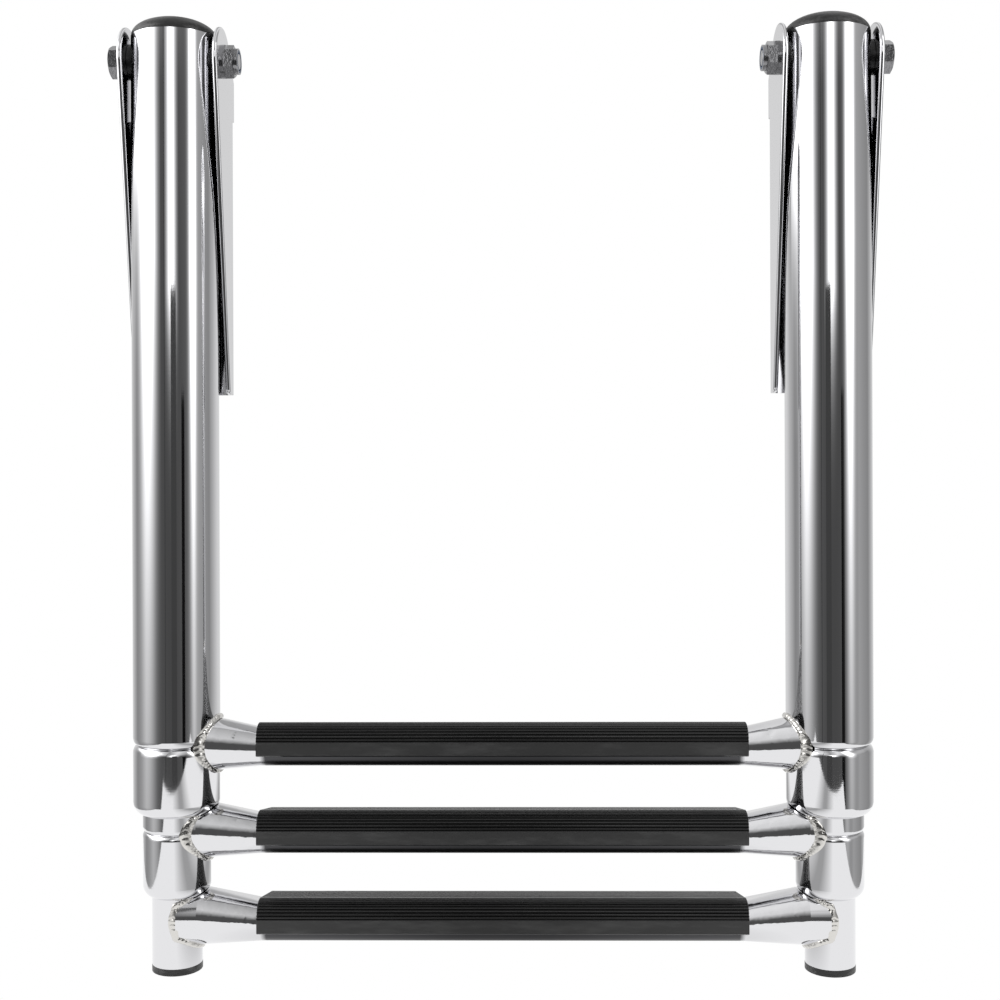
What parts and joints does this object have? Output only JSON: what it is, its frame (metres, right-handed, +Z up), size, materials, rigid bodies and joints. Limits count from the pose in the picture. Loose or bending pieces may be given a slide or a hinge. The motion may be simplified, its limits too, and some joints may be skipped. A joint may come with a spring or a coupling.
{
  "type": "boat boarding ladder",
  "caption": "Telescoping stainless boarding ladder with round nesting rails, flattened rungs with black treads, and two hinge brackets that screw to a boat.",
  "frame": {"origin": "centre of the four screw holes, on the plane where the two brackets' webs meet the boat", "axes": "+Z up along the rails towards the pivots, +Y into the boat (the mounting plane's outward normal), +X across the ladder to the right seen from the water"},
  "size_m": [0.3476, 0.041, 0.4247],
  "materials": {
    "rail_steel": "mirror-polished stainless steel tube",
    "rung_steel": "mirror-polished stainless steel tube",
    "bracket_steel": "polished stainless steel plate",
    "weld_steel": "bright stainless weld bead",
    "fastener_steel": "bright stainless fasteners",
    "tread_moulding": "satin black ribbed plastic",
    "cap_plastic": "satin black moulded plastic",
    "bush_plastic": "dark moulded plastic",
    "guide_nylon": "natural nylon",
    "insert_nylon": "dark nylon"
  },
  "bodies": {
    "brackets": {"left_bracket": "bracket_steel", "left_head_washer": "fastener_steel", "left_lock_insert": "insert_nylon", "left_lock_nut": "fastener_steel", "left_nut_washer": "fastener_steel", "left_pivot_bolt": "fastener_steel", "right_bracket": "bracket_steel", "right_head_washer": "fastener_steel", "right_lock_insert": "insert_nylon", "right_lock_nut": "fastener_steel", "right_nut_washer": "fastener_steel", "right_pivot_bolt": "fastener_steel"},
    "outer_section": {"left_inboard_bush": "bush_plastic", "left_outboard_bush": "bush_plastic", "left_outer_guide": "guide_nylon", "left_outer_rail": "rail_steel", "left_top_cap": "cap_plastic", "left_upper_weld": "weld_steel", "right_inboard_bush": "bush_plastic", "right_outboard_bush": "bush_plastic", "right_outer_guide": "guide_nylon", "right_outer_rail": "rail_steel", "right_top_cap": "cap_plastic", "right_upper_weld": "weld_steel", "upper_rung": "rung_steel", "upper_tread": "tread_moulding"},
    "middle_section": {"left_middle_glide": "guide_nylon", "left_middle_guide": "guide_nylon", "left_middle_rail": "rail_steel", "left_middle_weld": "weld_steel", "middle_rung": "rung_steel", "middle_tread": "tread_moulding", "right_middle_glide": "guide_nylon", "right_middle_guide": "guide_nylon", "right_middle_rail": "rail_steel", "right_middle_weld": "weld_steel"},
    "lower_section": {"left_foot": "cap_plastic", "left_inner_glide": "guide_nylon", "left_inner_rail": "rail_steel", "left_lower_weld": "weld_steel", "lower_rung": "rung_steel", "lower_tread": "tread_moulding", "right_foot": "cap_plastic", "right_inner_glide": "guide_nylon", "right_inner_rail": "rail_steel", "right_lower_weld": "weld_steel"}
  },
  "joints": [
    {"name": "ladder_swing", "type": "hinge", "parent": "brackets", "child": "outer_section", "pos_m": [0, -0.02195, 0.083], "axis": [-1, 0, 0], "range_deg": [0, 270]},
    {"name": "middle_slide", "type": "slide", "parent": "outer_section", "child": "middle_section", "axis": [0, 0, -1], "range_m": [0, 0.2663]},
    {"name": "lower_slide", "type": "slide", "parent": "middle_section", "child": "lower_section", "axis": [0, 0, -1], "range_m": [0, 0.2663]}
  ]
}
